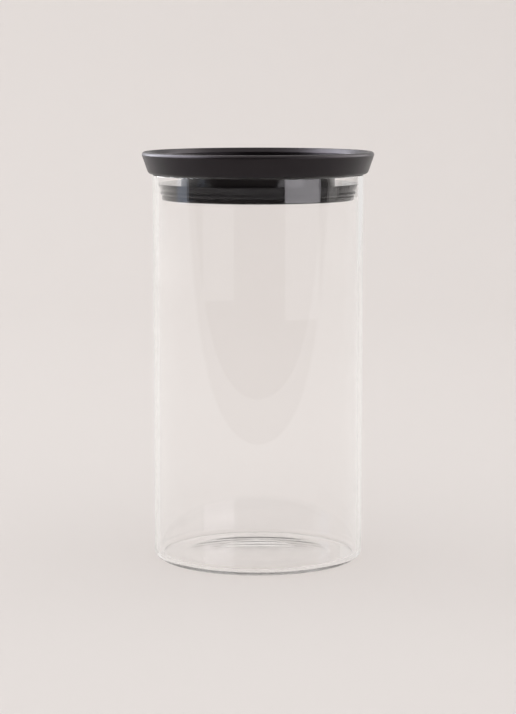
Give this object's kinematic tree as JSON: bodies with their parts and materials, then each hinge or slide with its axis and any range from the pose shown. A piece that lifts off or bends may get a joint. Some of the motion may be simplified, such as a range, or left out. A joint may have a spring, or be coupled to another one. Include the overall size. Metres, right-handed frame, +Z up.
{
  "type": "lidded glass canister",
  "caption": "Straight clear glass storage jar with a flared matt plastic push-in lid, recessed on top for stacking, and a silicone lip seal.",
  "frame": {"origin": "middle of the plane that the jar's foot stands on", "axes": "+Z up, along the axis of the jar; the body is round, so X and Y are free"},
  "size_m": [0.11, 0.11, 0.1945],
  "materials": {
    "glass": "polished clear",
    "lid_plastic": "fine matt moulded",
    "plug_plastic": "smooth satin moulded",
    "silicone": "smooth smoky silicone"
  },
  "bodies": {
    "jar": {"glass_jar": "glass"},
    "lid": {"lid_cap": "lid_plastic", "lid_plug": "plug_plastic", "seal_ring": "silicone"}
  },
  "joints": [
    {"name": "lid_lift", "type": "slide", "parent": "jar", "child": "lid", "axis": [0, 0, 1], "range_m": [0, 0.06]}
  ]
}
